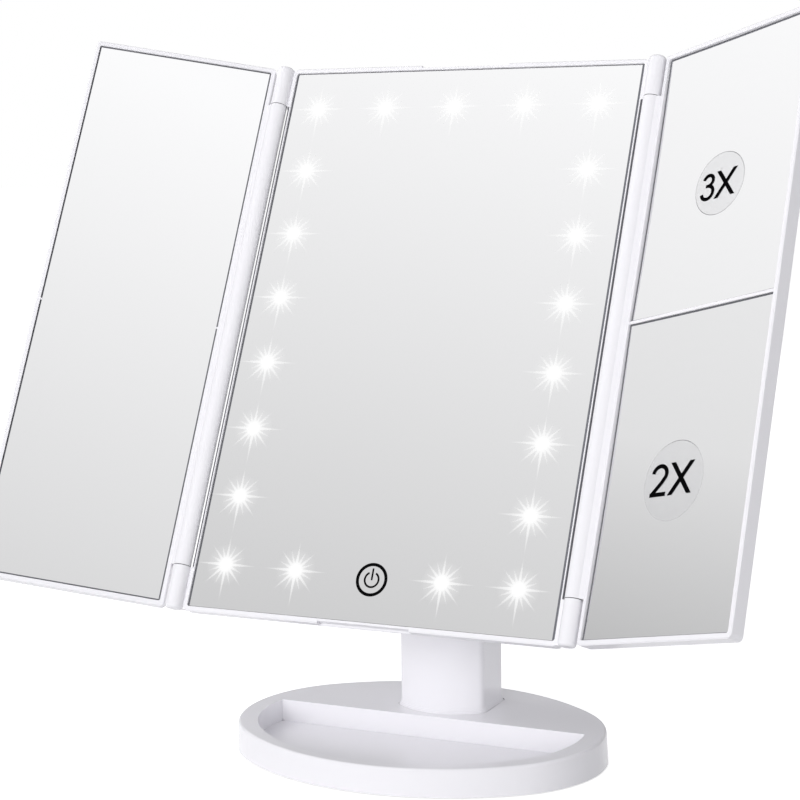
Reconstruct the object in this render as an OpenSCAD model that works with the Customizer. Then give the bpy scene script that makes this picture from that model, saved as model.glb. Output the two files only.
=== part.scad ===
// Trifold vanity mirror on an oval stand with a front tray.
// Millimetres. +Z up, the user stands on the -Y side, the origin is on the table under the
// middle of the base. The mirror is drawn as it stands in use: tilted back, wings folded in.

/* [Stand base] */
// Half length of the oval base, side to side
base_a = 79; // [74:0.2:100]
// Half depth of the oval base, front to back
base_b = 60.5; // [59.5:0.1:80]
// Height of the base wall, over the middle of the base
base_h = 12.6; // [12:0.1:22]
// How much the base wall leans out towards the table
base_draft = 0.5; // [0.2:0.1:4]
// Rise of the deck towards the back, in degrees
deck_slope = 1.4; // [0.4:0.1:3]
// Gap under the base wall, left by the rubber pad
foot_h = 0.5; // [0.3:0.1:2]
// Depth of the half-moon tray
tray_depth = 9.2; // [4:0.1:9.6]
// Half length and half depth of the tray's oval
tray_a = 70.4; // [60:0.2:71]
tray_b = 56.2; // [50:0.2:57]
// Distance of the tray's straight edge behind the middle of the base
tray_back = 8.4; // [0:0.1:10]

/* [Column] */
// Width of the column
col_w = 38.4; // [36:0.2:44]
// Depth of the column, which is also the diameter of its rounded top
col_d = 30; // [29.4:0.2:34]
// Distance from the middle of the base to the column's middle
col_y = 29.2; // [28.6:0.2:34]
// Radius of the bowed front face
col_bow = 28; // [24:1:200]
// Height of the tilt axis above the table
pivot_z = 160.5; // [158:0.5:190]

/* [Centre panel] */
// Mirror glass of the centre panel
glass_w = 160; // [120:1:200]
glass_h = 240; // [180:1:300]
// Half width of the moulded frame, and its half height
frame_x = 81.3; // [60:0.1:110]
frame_z = 122; // [90:0.5:160]
// Distance from the glass face back to the tilt axis
hinge_back = 31.5; // [31.2:0.1:40]
// Height of the tilt axis above the middle of the glass
hinge_up = 0; // [-40:0.5:60]
// Lean of the mirror from upright
tilt = 25.4; // [0:0.1:90]

/* [Wings] */
// Distance of the wing hinge axis from the middle, and in front of the glass
axis_x = 85.5; // [70:0.1:110]
axis_y = 1.6; // [1:0.1:4]
// Reach of a wing from its hinge axis to its free edge
wing_w = 85; // [60:0.5:110]
// Fold of each wing towards the user, from flat
fold_left = 23.3; // [0:0.1:170]
fold_right = 30; // [0:0.1:170]
// Radius of the hinge barrels
barrel_r = 3.6; // [2.5:0.1:6]
// Height of the bar between the two magnifying glasses, above the middle
divider_z = 6.3; // [-40:0.1:40]

/* [Lighting] */
// Half spacing of the light columns and rows, counts along each side
led_x = 65; // [50:0.5:75]
led_z = 103.5; // [80:0.5:115]
led_rows = 8; // [4:1:12]
led_cols = 5; // [3:2:9]

/* [Node selection] */
// Sub-part to draw, or all

/* [Hidden] */
$fn = 96;
wall = 2.2;
lip = 0.9;                       // the frame's lip stands this proud of the glass
gap = 0.3;                       // free space between pieces that only meet
glass_t = 2.2;
base_z = foot_h;
deck_z = foot_h + base_h;        // deck height over the middle of the base
col_front = col_y - col_d / 2;
col_back = col_y + col_d / 2;
// The column's foot stands level with the deck in front of it
foot_z = deck_z + (col_front - 1.1) * tan(deck_slope);
pivot_y = col_y;
slot_r = 12.8;                   // round hollow in the column's top, and its half width
slot_x = 12.5;
knuckle_r = 11.8;
knuckle_x = 11.2;
axle_r = 3;
cavity_top = pivot_z - slot_r - 3;
bay_z = 28.5;                    // battery bay
bay_h = 99;
bay_x = 11.4;
bay_y = col_back - 2 - 11.6;
cell_r = 5.2;
cell_l = 44.5;
seam_z = 104;                    // the wing's barrel ends here, the fixed knuckles begin
pin_r = 1;
pin_l = 27;
wing_in = 4.3;                   // wing frame starts here, measured from the hinge axis
wing_z = 121.5;
wglass_in = 6.3;
wglass_out = 83.3;
wglass_z = 119.5;
wing_d = 5;
wglass_t = 2;
divider_w = 1.2;
usb_z = 21.6;
switch_z = 135;
door_z = bay_z - 0.35;           // axis of the battery door's round lower edge

white = "#f1f0f6";
mirror_grey = "#dcdfe2";
steel = "#b9bcc0";
rubber = "#5a5b5f";
board_green = "#2f6b4a";
board_white = "#f4f4f0";
copper = "#c98d5a";
label_blue = "#3d5f8f";

// ---------- shared forms ----------

// The oval is a lens of two large arcs, closed by two small arcs of radius e that meet them
// smoothly. The large radius, its centre and the width of the lens follow from the half axes.
// The large arcs lie 0.03 further in than true tangents, so that every joint is a clean crossing.
function arc_r(a, b, e) = ((a - e) * (a - e) + b * b - e * e) / (2 * (b - e));
function arc_k(a, b, e) = arc_r(a, b, e) - b + 0.03;
function lens_x(a, b, e) = a - e + e * sin(atan((a - e) / arc_k(a, b, e)));

module oval(a, b, e) {
  k = arc_k(a, b, e);
  intersection() {
    translate([0, -k]) circle(arc_r(a, b, e), $fn = 240);
    translate([0, k]) circle(arc_r(a, b, e), $fn = 240);
    square([2 * lens_x(a, b, e), 2 * b + 20], center = true);
  }
  for (s = [-1, 1]) translate([s * (a - e), 0]) circle(e, $fn = 180);
}

module oval_prism(a, b, e, z0, z1) translate([0, 0, z0]) linear_extrude(z1 - z0) oval(a, b, e);

// One round body of the base: leaning wall, rounded upper edge; it reaches below the table
module base_disc(r) {
  rim = 1.2;
  lean = base_draft / (base_h - rim);
  rotate_extrude($fn = 180)
    polygon(concat([[0, -6], [r + lean * (deck_z - rim + 6), -6]],
                   [for (t = [0:18:90]) [r - rim + rim * cos(t), deck_z - rim + rim * sin(t)]],
                   [[0, deck_z]]));
}

// Leans what is drawn level, so that the deck rises towards the back
module on_slope() {
  translate([0, 0, deck_z]) rotate([deck_slope, 0, 0]) translate([0, 0, -deck_z]) children();
}

// Rectangle with true round corners
module rrect(w, h, r) {
  square([w - 2 * r, h], center = true);
  square([w, h - 2 * r], center = true);
  for (x = [-1, 1], y = [-1, 1]) translate([x * (w / 2 - r), y * (h / 2 - r)]) circle(r);
}

// Extrude a panel outline (x, z) from y0 back to y1
module slab(y0, y1) { translate([0, y1, 0]) rotate([90, 0, 0]) linear_extrude(y1 - y0) children(); }

// Extrude a side view (y, z) symmetrically along x
module side_view(w) { rotate([90, 0, 90]) linear_extrude(w, center = true) children(); }

// A round-cornered panel whose four sides follow steps = [[y, inset], ...]
module pillow(w, h, r, steps) {
  n = len(steps) - 1;
  intersection() {
    linear_extrude(h + 2, center = true)
      polygon(concat([for (s = steps) [w / 2 - s[1], s[0]]],
                     [for (i = [n:-1:0]) [steps[i][1] - w / 2, steps[i][0]]]));
    side_view(w + 2)
      polygon(concat([for (s = steps) [s[0], h / 2 - s[1]]],
                     [for (i = [n:-1:0]) [steps[i][0], steps[i][1] - h / 2]]));
    slab(steps[0][0], steps[n][0]) rrect(w, h, r);
  }
}

// Pan-head screw: the head's seat is at the origin, the shank points up
module screw(d, l) {
  translate([0, 0, -d * 0.6]) difference() {
    cylinder(r = d, h = d * 0.6, $fn = 32);
    translate([0, 0, -0.1]) cylinder(r = d * 0.35, h = d * 0.3, $fn = 6);
  }
  cylinder(r = d / 2, h = l, $fn = 24);
}

// Places: the tilted panel, and a wing about its hinge axis (y = 0 is the glass face)
module on_panel() {
  translate([0, pivot_y, pivot_z]) rotate([-tilt, 0, 0])
    translate([0, -hinge_back, -hinge_up]) children();
}
module on_right_wing() {
  on_panel() translate([axis_x, -axis_y, 0]) rotate(-fold_right) translate([0, axis_y, 0])
    children();
}
module on_left_wing() {
  on_panel() translate([-axis_x, -axis_y, 0]) rotate(fold_left) mirror([1, 0, 0])
    translate([0, axis_y, 0]) children();
}

// ---------- stand base ----------

base_e = 50;
tray_e = 46;
base_boss = [[-58, 24], [58, 24], [-36, 46], [36, 46]];
col_boss = [for (x = [-11, 11], y = [col_front + 7.5, col_back - 9]) [x, y]];

module tray_outline(grow, z0, z1) {
  intersection() {
    oval_prism(tray_a + grow, tray_b + grow, tray_e + grow, z0, z1);
    translate([-100, -100, z0 - 1]) cube([200, 100 + tray_back + grow, z1 - z0 + 2]);
  }
}

module base_body() {
  k = arc_k(base_a, base_b, base_e);
  tx = lens_x(base_a, base_b, base_e);
  intersection() {
    on_slope() {
      intersection() {
        translate([0, -k, 0]) base_disc(arc_r(base_a, base_b, base_e));
        translate([0, k, 0]) base_disc(arc_r(base_a, base_b, base_e));
        translate([-tx, -100, -20]) cube([2 * tx, 200, 60]);
      }
      for (s = [-1, 1]) translate([s * (base_a - base_e), 0, 0]) base_disc(base_e);
    }
    translate([-150, -150, base_z]) cube([300, 300, 60]);
  }
}

module base_shell() color(white) {
  difference() {
    base_body();
    // hollow underneath, left solid round the tray
    difference() {
      on_slope() oval_prism(base_a - wall, base_b - wall, base_e - wall, -5, deck_z - wall);
      tray_outline(2.4, base_z + 1.9, deck_z + 3);
      for (p = base_boss) translate([p[0], p[1], base_z + 2.6]) cylinder(r = 3.4, h = base_h + 4);
      for (p = col_boss) translate([p[0], p[1], deck_z - 4]) cylinder(r = 4, h = 8);
      // stiffening ribs under the deck
      for (x = [-44, -22, 22, 44]) translate([x - 0.7, tray_back, deck_z - 4]) cube([1.4, 60, 8]);
    }
    // seat of the floor plate
    oval_prism(base_a - 1.6, base_b - 1.6, base_e - 1.6, base_z - 1, base_z + 1.8);
    tray_outline(0, deck_z - tray_depth, deck_z + 4);
    // level seat of the column's foot
    translate([0, 0, foot_z]) linear_extrude(6) column_section(-1.25);
    for (p = base_boss) translate([p[0], p[1], 0]) cylinder(r = 1.1, h = base_z + 8);
    for (p = col_boss) translate([p[0], p[1], 0]) cylinder(r = 1.7, h = deck_z + 3);
    translate([0, col_y, 0]) cylinder(r = 4, h = deck_z + 3);
  }
}

module base_floor() color(white) {
  difference() {
    union() {
      oval_prism(base_a - 1.9, base_b - 1.9, base_e - 1.9, base_z, base_z + 1.8);
      // cups that take the screw heads
      for (p = base_boss) translate([p[0], p[1], base_z]) cylinder(r = 3.6, h = 2.5);
    }
    for (p = base_boss) translate([p[0], p[1], 0]) {
      cylinder(r = 1.3, h = 10);
      cylinder(r = 2.5, h = base_z + 1.5);
    }
    // seat of the rubber pad
    oval_prism(base_a - 5.8, base_b - 5.8, base_e - 5.8, -1, base_z + 0.6);
  }
}

module ballast_plate() color(steel) {
  difference() {
    intersection() {
      oval_prism(base_a - 8, base_b - 8, base_e - 8, base_z + 2, base_z + 5.2);
      translate([-100, tray_back + 5, 0]) cube([200, 100, 20]);
    }
    for (p = base_boss) translate([p[0], p[1], 0]) cylinder(r = 4.2, h = 20);
    for (p = col_boss) translate([p[0], p[1], 0]) cylinder(r = 4.5, h = 20);
    translate([0, col_y, 0]) cylinder(r = 6, h = 20);
  }
}

// Non-slip pad under the whole base, with holes for the screws
module rest_pad() color(rubber) difference() {
  oval_prism(base_a - 6.1, base_b - 6.1, base_e - 6.1, 0, base_z + 0.6);
  for (p = base_boss) translate([p[0], p[1], -1]) cylinder(r = 4, h = 5);
}

module base_screws() color(steel)
  for (p = base_boss) translate([p[0], p[1], base_z + 1.5]) screw(2.2, 6);

module column_screws() color(steel)
  for (p = col_boss) translate([p[0], p[1], deck_z - 4]) screw(3, 11);

// ---------- column ----------

// Section of the column: bowed front and round corners, all arcs tangent
module column_section(in) {
  w = col_w / 2 - in;
  r = 4 - in;
  bow = col_bow - in;
  by = col_front + col_bow;
  cx = w - r;
  cy = by - sqrt((bow - r) * (bow - r) - cx * cx);
  back = col_back - in;
  rb = max(3 - in, 0.6);
  translate([-w, cy]) square([2 * w, back - rb - cy]);
  translate([rb - w, cy]) square([2 * (w - rb), back - cy]);
  for (s = [-1, 1]) {
    translate([s * cx, cy]) circle(r);
    translate([s * (w - rb), back - rb]) circle(rb);
  }
  intersection() {
    translate([0, by]) circle(bow, $fn = 180);
    translate([-cx * bow / (bow - r), 0]) square([2 * cx * bow / (bow - r), cy + 1]);
  }
}

module tilt_bore(r, l) { translate([0, pivot_y, pivot_z]) rotate([0, 90, 0]) cylinder(r = r, h = l, center = true); }

module column_shell() color(white) {
  difference() {
    union() {
      translate([0, 0, foot_z]) linear_extrude(pivot_z - foot_z) column_section(0);
      // round top about the tilt axis
      intersection() {
        translate([0, 0, pivot_z - 2]) linear_extrude(col_d) column_section(0);
        tilt_bore(col_d / 2 + 0.05, 2 * col_w);
      }
      // foot flare, a hollow curve of thin steps
      for (i = [0:4]) translate([0, 0, foot_z + i * 0.55]) linear_extrude(0.55)
        column_section(-1.1 * pow(1 - i / 5, 2));
    }
    // hollow inside
    difference() {
      translate([0, 0, foot_z + wall]) linear_extrude(cavity_top - foot_z - wall)
        column_section(wall);
      // thicker rear wall round the cover
      translate([-col_w, col_back - 4.2, 0]) cube([2 * col_w, 10, 200]);
      for (p = col_boss) translate([p[0], p[1], 0]) cylinder(r = 3.4, h = foot_z + 10);
      // ribs behind the bowed front, up to the battery holder
      for (x = [-10, 10]) translate([x - 0.8, col_front, bay_z + 8])
        cube([1.6, bay_y - 1.7 - col_front, 80]);
      // rests of the power board
      for (x = [-6, 6]) translate([x - 0.6, col_y, foot_z]) cube([1.2, 10, usb_z - 3.2 - foot_z]);
    }
    // rear cover: its seat, and the opening in front of the seat
    translate([-14.6, col_back - 2, foot_z + 3.4]) cube([29.2, 10, cavity_top - foot_z - 6.4]);
    translate([-13.2, col_back - 6, foot_z + 4.9]) cube([26.4, 10, cavity_top - foot_z - 9.4]);
    // round hollow and front slot for the tilt bracket
    tilt_bore(slot_r, 2 * slot_x);
    translate([-slot_x, col_front - 5, pivot_z - 11.5]) cube([2 * slot_x, 5 + col_d / 2, 60]);
    translate([-slot_x, col_front - 5, pivot_z]) cube([2 * slot_x, col_d + 10, 60]);
    // axle bore with cap seats
    tilt_bore(axle_r + 0.05, col_w + 4);
    for (s = [-1, 1]) translate([s * (col_w / 2 - 0.5), pivot_y, pivot_z]) rotate([0, 90, 0])
      cylinder(r = 6.1, h = 3, center = true);
    // lead holes: up into the hinge, down into the base
    translate([0, pivot_y, cavity_top - 1]) cylinder(r = 2.5, h = 10);
    translate([0, col_y, 0]) cylinder(r = 4, h = foot_z + 10);
    for (p = col_boss) translate([p[0], p[1], 0]) cylinder(r = 1.5, h = foot_z + 9);
  }
}

// The rear cover carries the battery holder on its inner side
module column_rear_cover() color(white) {
  z0 = foot_z + 3.7;
  difference() {
    union() {
      translate([-14.3, col_back - 2, z0]) cube([28.6, 2, cavity_top - z0 - 3.3]);
      translate([-bay_x - 1.4, bay_y - 1.4, bay_z - 1.6]) cube([2 * bay_x + 2.8, 13, bay_h + 3.2]);
      // snap hooks that catch behind the column's rear wall
      for (s = [-1, 1], z = [50, 85, 120]) translate([0, 0, z - 3]) linear_extrude(6)
        polygon([[s * bay_x, col_back - 8], [s * (bay_x + 1.4), col_back - 8],
                 [s * (bay_x + 2.6), col_back - 5], [s * (bay_x + 2.6), col_back - 4.4],
                 [s * bay_x, col_back - 4.4]]);
    }
    translate([-bay_x, bay_y, bay_z]) cube([2 * bay_x, 20, bay_h]);
    // seat of the door, and the thumb scoop above it
    translate([-13.1, col_back - 1.4, bay_z - 1.2]) cube([26.2, 3, bay_h + 2.4]);
    translate([0, col_back + 4, bay_z + bay_h]) rotate([0, 90, 0])
      cylinder(r = 5.4, h = 13, center = true);
    // socket and switch openings
    translate([0, 0, usb_z]) slab(col_back - 5, col_back + 5) rrect(9.4, 3.8, 1.89);
    translate([-4.6, col_back - 5, switch_z - 1.7]) cube([9.2, 10, 3.4]);
  }
  // rib between the two battery columns
  translate([-0.25, bay_y - 0.1, bay_z + 8]) cube([0.5, 3, bay_h - 16]);
}

// Door with a round lower edge that it turns on
module battery_door() color(white) {
  t = 1.1;
  difference() {
    union() {
      translate([-12.8, col_back - t, door_z]) cube([25.6, t, bay_z + bay_h + 0.9 - door_z]);
      translate([0, col_back - t / 2, door_z]) rotate([0, 90, 0])
        cylinder(r = t / 2, h = 25.6, center = true);
    }
    // grip grooves
    for (i = [0:4]) translate([-7, col_back - 0.4, bay_z + bay_h - 4 - i * 2]) cube([14, 1, 0.9]);
  }
}

module battery(s, level) {
  z = bay_z + 5.2 + level * (cell_l + 0.1);
  color(label_blue) translate([s * 5.75, bay_y + 0.35 + cell_r, z]) {
    cylinder(r = cell_r, h = cell_l - 1);
    translate([0, 0, cell_l - 1]) cylinder(r = 1.9, h = 1);
  }
}

// Flat tab with a cone of turns, drawn as stepped rings
module battery_spring(s) color(steel)
  translate([s * 5.75, bay_y + 0.35 + cell_r, bay_z]) {
    translate([-4.4, -4.4, 0.2]) cube([8.8, 8.8, 0.5]);
    for (i = [0:4]) translate([0, 0, 0.7 + i * 0.9]) difference() {
      cylinder(r = 4 - i * 0.5, h = 0.9);
      translate([0, 0, -0.1]) cylinder(r = 3.3 - i * 0.5, h = 1.1);
    }
  }

module battery_bridge() color(steel)
  translate([-10.2, bay_y + 1, bay_z + bay_h - 0.8]) cube([20.4, 9, 0.5]);

module usb_socket() color(steel) translate([0, 0, usb_z]) {
  difference() {
    slab(col_back - 7, col_back - 0.4) rrect(8.94, 3.26, 1.62);
    slab(col_back - 6, col_back) rrect(8.34, 2.56, 1.27);
  }
  slab(col_back - 6.2, col_back - 1.4) square([6.6, 0.7], center = true);
}

module power_board() color(board_green) {
  translate([-7, col_back - 15.4, usb_z - 3.2]) cube([14, 13, 1.5]);
  translate([-6, col_back - 14, usb_z - 1.8]) cube([5, 4, 1.2]);
  translate([1.5, col_back - 14, usb_z - 1.8]) cube([3, 5, 2]);
}

module switch_body() color(rubber) {
  difference() {
    translate([-6, col_back - 7, switch_z - 2.6]) cube([12, 4.7, 5.2]);
    translate([-4.6, col_back - 4.6, switch_z - 1.7]) cube([9.2, 3, 3.4]);
  }
}

module switch_slider() color(rubber) {
  difference() {
    translate([-4.2, col_back - 4.3, switch_z - 1.35]) cube([5, 4.9, 2.7]);
    for (i = [0:2]) translate([-3.2 + i * 1.3, col_back + 0.2, switch_z - 2]) cube([0.6, 1, 4]);
  }
}

// ---------- tilt hinge ----------

module tilt_axle() color(steel) tilt_bore(axle_r, col_w - 4.4);

module tilt_washer(s) color(steel) difference() {
  translate([s * (slot_x - 0.45), pivot_y, pivot_z]) rotate([0, 90, 0])
    cylinder(r = 9, h = 0.9, center = true);
  tilt_bore(axle_r + 0.1, 60);
}

module axle_cap(s) color(white)
  translate([s * (col_w / 2 - 1), pivot_y, pivot_z]) rotate([0, s * 90, 0]) {
    translate([0, 0, -1]) cylinder(r = 6, h = 1.6);
    translate([0, 0, 0.6]) cylinder(r1 = 6, r2 = 5.2, h = 0.5);
  }

// Bracket on the back of the panel: plate, tapering neck and knuckle
module tilt_bracket() color(white) on_panel() {
  plate_y = 13;
  difference() {
    union() {
      translate([0, 0, hinge_up]) slab(plate_y, plate_y + 2.6) rrect(52, 44, 6);
      translate([0, 0, hinge_up]) side_view(2 * knuckle_x)
        polygon([[plate_y + 2, -15], [plate_y + 2, 15], [plate_y + 4, 9],
                 [hinge_back, 9], [hinge_back, -9], [plate_y + 4, -9]]);
      translate([0, hinge_back, hinge_up]) rotate([0, 90, 0])
        cylinder(r = knuckle_r, h = 2 * knuckle_x, center = true);
    }
    translate([0, hinge_back, hinge_up]) rotate([0, 90, 0])
      cylinder(r = axle_r + 0.05, h = 60, center = true);
    bracket_holes(1.7, 30);
    // lead groove
    translate([0, 0, hinge_up]) slab(plate_y - 1, plate_y + 4) circle(2.5);
  }
}

module bracket_holes(r, l)
  for (x = [-19, 19], z = [-14, 14]) translate([x, 13 + 2.6, hinge_up + z]) rotate([90, 0, 0])
    translate([0, 0, -l / 2]) cylinder(r = r, h = l);

module bracket_screws() color(steel) on_panel()
  for (x = [-19, 19], z = [-14, 14]) translate([x, 13 + 2.6, hinge_up + z]) rotate([90, 0, 0])
    screw(3, 7);

// ---------- centre panel ----------

back_steps = [[3.7, 0], [4.6, 0.3], [8, 2], [11, 4.6], [12.4, 7.4], [13, 10.5]];
back_hollow = [[3.6, 1.8], [4.6, 2.1], [8, 3.8], [10, 5.4], [11.2, 8.5]];
post_at = [for (x = [-1, 1], z = [-1, 0, 1]) [x * 74.6, z * 113.6]];

module led_places(x, z) {
  for (i = [0:led_rows - 1]) for (s = [-1, 1])
    translate([s * x, 0, z - i * 2 * z / (led_rows - 1)]) children();
  for (i = [1:led_cols - 2]) {
    translate([-x + i * 2 * x / (led_cols - 1), 0, z]) children();
    if (i != (led_cols - 1) / 2) translate([-x + i * 2 * x / (led_cols - 1), 0, -z]) children();
  }
}

module center_frame() color(white) on_panel() {
  difference() {
    union() {
      pillow(2 * frame_x, 2 * frame_z, 2.2, [[-lip, 0.4], [-lip + 0.4, 0], [3.4, 0]]);
      // ledge behind the glass, running into the back cover
      slab(2, 4.4) rrect(2 * frame_x - 4.6, 2 * frame_z - 4.6, 2);
      for (x = [-1, 1], z = [-1, 1]) fixed_knuckle(x, z);
      // screw posts
      for (p = post_at) translate([p[0], 0, p[1]]) slab(3, 7) circle(2.6);
    }
    slab(-2, glass_t) rrect(glass_w, glass_h, 1);
    difference() {
      slab(glass_t - 0.1, 5) rrect(glass_w - 8, glass_h - 8, 2);
      for (p = post_at) translate([p[0], 0, p[1]]) slab(2, 8) circle(2.6);
    }
    for (p = post_at) translate([p[0], 0, p[1]]) slab(3.4, 8) circle(0.9);
    // finger notches, top and bottom
    for (z = [-1, 1]) translate([0, 0, z * frame_z]) side_view(40)
      polygon([[-2, -z * 1.1], [2.4, -z * 0.8], [3.6, z], [-2, z]]);
  }
}

// Fixed end knuckle of a wing hinge, joined to the frame by a short web
module fixed_knuckle(sx, sz) {
  h = frame_z - seam_z;
  difference() {
    translate([0, 0, sz * seam_z]) mirror([0, 0, sz > 0 ? 0 : 1]) union() {
      // barrel with a rounded outer end
      translate([sx * axis_x, -axis_y, 0]) rotate_extrude()
        polygon([[0, 0], [barrel_r, 0], [barrel_r, h - 1.2], [barrel_r - 0.2, h - 0.6],
                 [barrel_r - 0.6, h - 0.2], [barrel_r - 1.3, h], [0, h]]);
      linear_extrude(h - 0.5) polygon([[sx * (frame_x - 1), -lip], [sx * (frame_x - 1), 2.6],
                                       [sx * axis_x, 1.9], [sx * (axis_x - 3), -lip]]);
    }
    translate([sx * axis_x, -axis_y, sz > 0 ? seam_z - 1 : -frame_z + 2]) cylinder(r = pin_r, h = h - 1);
  }
}

module center_back() color(white) on_panel() {
  difference() {
    union() {
      difference() {
        pillow(2 * frame_x, 2 * frame_z, 2.2, back_steps);
        pillow(2 * frame_x, 2 * frame_z, 2.2, back_hollow);
      }
      intersection() {
        pillow(2 * frame_x, 2 * frame_z, 2.2, back_steps);
        union() {
          // screw bosses, bracket seat and stiffening ribs
          for (p = post_at) translate([p[0], 0, p[1]]) slab(7.1, 13) circle(3.2);
          translate([0, 0, hinge_up]) for (x = [-19, 19], z = [-14, 14])
            translate([x, 0, z]) slab(6, 13) circle(3.4);
          for (x = [-38, 38]) translate([x - 0.7, 8.6, -100]) cube([1.4, 4, 200]);
          for (z = [-62, 0, 62]) translate([-70, 8.6, z - 0.7]) cube([140, 4, 1.4]);
          // rests of the light board and of the control board
          for (x = [-1, 1], z = [-1, 1]) {
            for (p = [[led_x, 88.7], [led_x, 29.6], [48.7, led_z]])
              translate([x * p[0], 0, z * p[1]]) slab(4.7, 13) circle(2);
            translate([x * 20, 0, -78 + z * 8]) slab(8.2, 13) circle(1.8);
          }
        }
      }
    }
    for (p = post_at) translate([p[0], 0, p[1]]) {
      slab(6, 14) circle(1.1);
      slab(9.4, 14) circle(2.3);
    }
    translate([0, 0, hinge_up]) for (x = [-19, 19], z = [-14, 14])
      translate([x, 0, z]) slab(7.5, 14) circle(1.5);
    translate([0, 0, hinge_up]) slab(9, 14) circle(2.5);
  }
}

module center_screws() color(steel) on_panel()
  for (p = post_at) translate([p[0], 9.4, p[1]]) rotate([90, 0, 0]) screw(1.8, 5);

module center_glass() color(mirror_grey) on_panel()
  slab(0, glass_t) rrect(glass_w - 0.6, glass_h - 0.6, 0.8);

module led_board() color(board_white) on_panel() {
  difference() {
    slab(3.5, 4.7) rrect(2 * led_x + 11, 2 * led_z + 11, 3);
    slab(3, 5) rrect(2 * led_x - 11, 2 * led_z - 11, 3);
  }
  led_places(led_x, led_z) translate([-1.75, 2.8, -1.4]) cube([3.5, 0.8, 2.8]);
}

module touch_pad() color(copper) on_panel()
  translate([0, 0, -led_z + 1]) {
    slab(glass_t, glass_t + 0.3) circle(6.5);
    translate([0, 0, 8.5]) slab(glass_t, glass_t + 0.3) square([3, 6], center = true);
  }

module control_board() color(board_green) on_panel() {
  translate([0, 0, -78]) slab(7, 8.2) rrect(46, 22, 1);
  translate([0, 0, -78]) slab(5.6, 7) square([8, 8], center = true);
  for (x = [-14, 14]) translate([x, 0, -78]) slab(5.4, 7) square([5, 7], center = true);
}

// ---------- wings ----------

wing_mid = (wing_in + wing_w) / 2;
wglass_mid = (wglass_in + wglass_out) / 2;
wglass_w = wglass_out - wglass_in;

// Moulded wing frame: barrel, sloping web, lip and side walls, open behind
module wing_frame(divided) {
  r_web = barrel_r - 0.15;
  difference() {
    union() {
      translate([wing_mid, 0, 0])
        pillow(wing_w - wing_in, 2 * wing_z, 2, [[-lip, 0.4], [-lip + 0.4, 0], [wing_d, 0]]);
      translate([0, -axis_y, 0]) cylinder(r = barrel_r, h = 2 * (seam_z - gap), center = true);
      linear_extrude(2 * (seam_z - gap), center = true)
        polygon([[0, -axis_y - r_web], [1.5, -axis_y - barrel_r + 0.5], [4.9, -lip],
                 [wing_in + 1, 0], [wing_in + 1, 3], [0, 1.9]]);
    }
    difference() {
      translate([wglass_mid, 0, 0]) slab(-2, wglass_t) rrect(wglass_w, 2 * wglass_z, 0.8);
      if (divided)
        translate([wglass_mid, 0, divider_z]) slab(-lip * 0.6, 3)
          square([wglass_w + 2, divider_w], center = true);
      else
        for (x = [wglass_in, wglass_out]) translate([x, 0, -0.5]) slab(-lip * 0.6, 0)
          square([1.4, 0.8], center = true);
    }
    difference() {
      translate([wglass_mid, 0, 0]) slab(wglass_t - 0.1, wing_d + 1)
        rrect(wglass_w - 5, 2 * wglass_z - 5, 1.5);
      if (divided)
        translate([wglass_mid, 0, divider_z]) slab(0, 4.2)
          square([wglass_w + 2, 5], center = true);
    }
    // seat of the back plate
    translate([wing_mid + 0.4, 0, 0]) slab(4.2, wing_d + 1)
      rrect(wing_w - wing_in - 3.2, 2 * wing_z - 3.2, 1.4);
    for (s = [-1, 1]) translate([0, -axis_y, s * (seam_z - 6)])
      cylinder(r = pin_r + 0.05, h = 16, center = true);
  }
}

// Back plate with ribs that carry the glass
module wing_back() {
  translate([wing_mid + 0.4, 0, 0]) {
    pillow(wing_w - wing_in - 3.6, 2 * wing_z - 3.6, 1.2, [[4.3, 0], [5, 0], [6, 0.8], [6.4, 2]]);
    for (z = [-93, -60, -27, 39.6, 72.6, 99]) translate([0, 0, z])
      slab(wglass_t, 4.4) square([68, 1.4], center = true);
    for (x = [-22, 22], z = [[-60, 106], [66, 82]]) translate([x, 0, z[0]])
      slab(wglass_t, 4.4) square([1.4, z[1]], center = true);
  }
}

module flat_glass() {
  translate([wglass_mid, 0, 0]) slab(0, wglass_t) rrect(wglass_w - 0.6, 2 * wglass_z - 0.6, 0.6);
}

// Magnifying glass between two heights, with one shallow round dish over its whole face
module dished_glass(z0, z1) {
  reach = 76;
  depth = 0.9;
  n = 12;
  difference() {
    translate([wglass_mid, 0, (z0 + z1) / 2]) slab(0, wglass_t)
      rrect(wglass_w - 0.6, z1 - z0 - 0.6, 0.6);
    translate([wglass_mid, 0, (z0 + z1) / 2]) rotate([-90, 0, 0]) rotate_extrude($fn = 96)
      polygon(concat([[0, -1]], [for (i = [0:n]) [i * reach / n, depth * (1 - pow(i / n, 2))]],
                     [[reach, -1]]));
  }
}

// Hinge pin: pressed into the fixed knuckle, running in the wing's barrel
module hinge_pin(sx, sz) color(steel) on_panel()
  translate([sx * axis_x, -axis_y, sz > 0 ? frame_z - 2 - pin_l : 2 - frame_z])
    cylinder(r = pin_r, h = pin_l, $fn = 32);

module left_wing_frame() color(white) on_left_wing() wing_frame(false);
module left_wing_back() color(white) on_left_wing() wing_back();
module left_wing_glass() color(mirror_grey) on_left_wing() flat_glass();
module right_wing_frame() color(white) on_right_wing() wing_frame(true);
module right_wing_back() color(white) on_right_wing() wing_back();
module right_upper_glass() color(mirror_grey) on_right_wing()
  dished_glass(divider_z + divider_w / 2, wglass_z);
module right_lower_glass() color(mirror_grey) on_right_wing()
  dished_glass(-wglass_z, divider_z - divider_w / 2);

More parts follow.
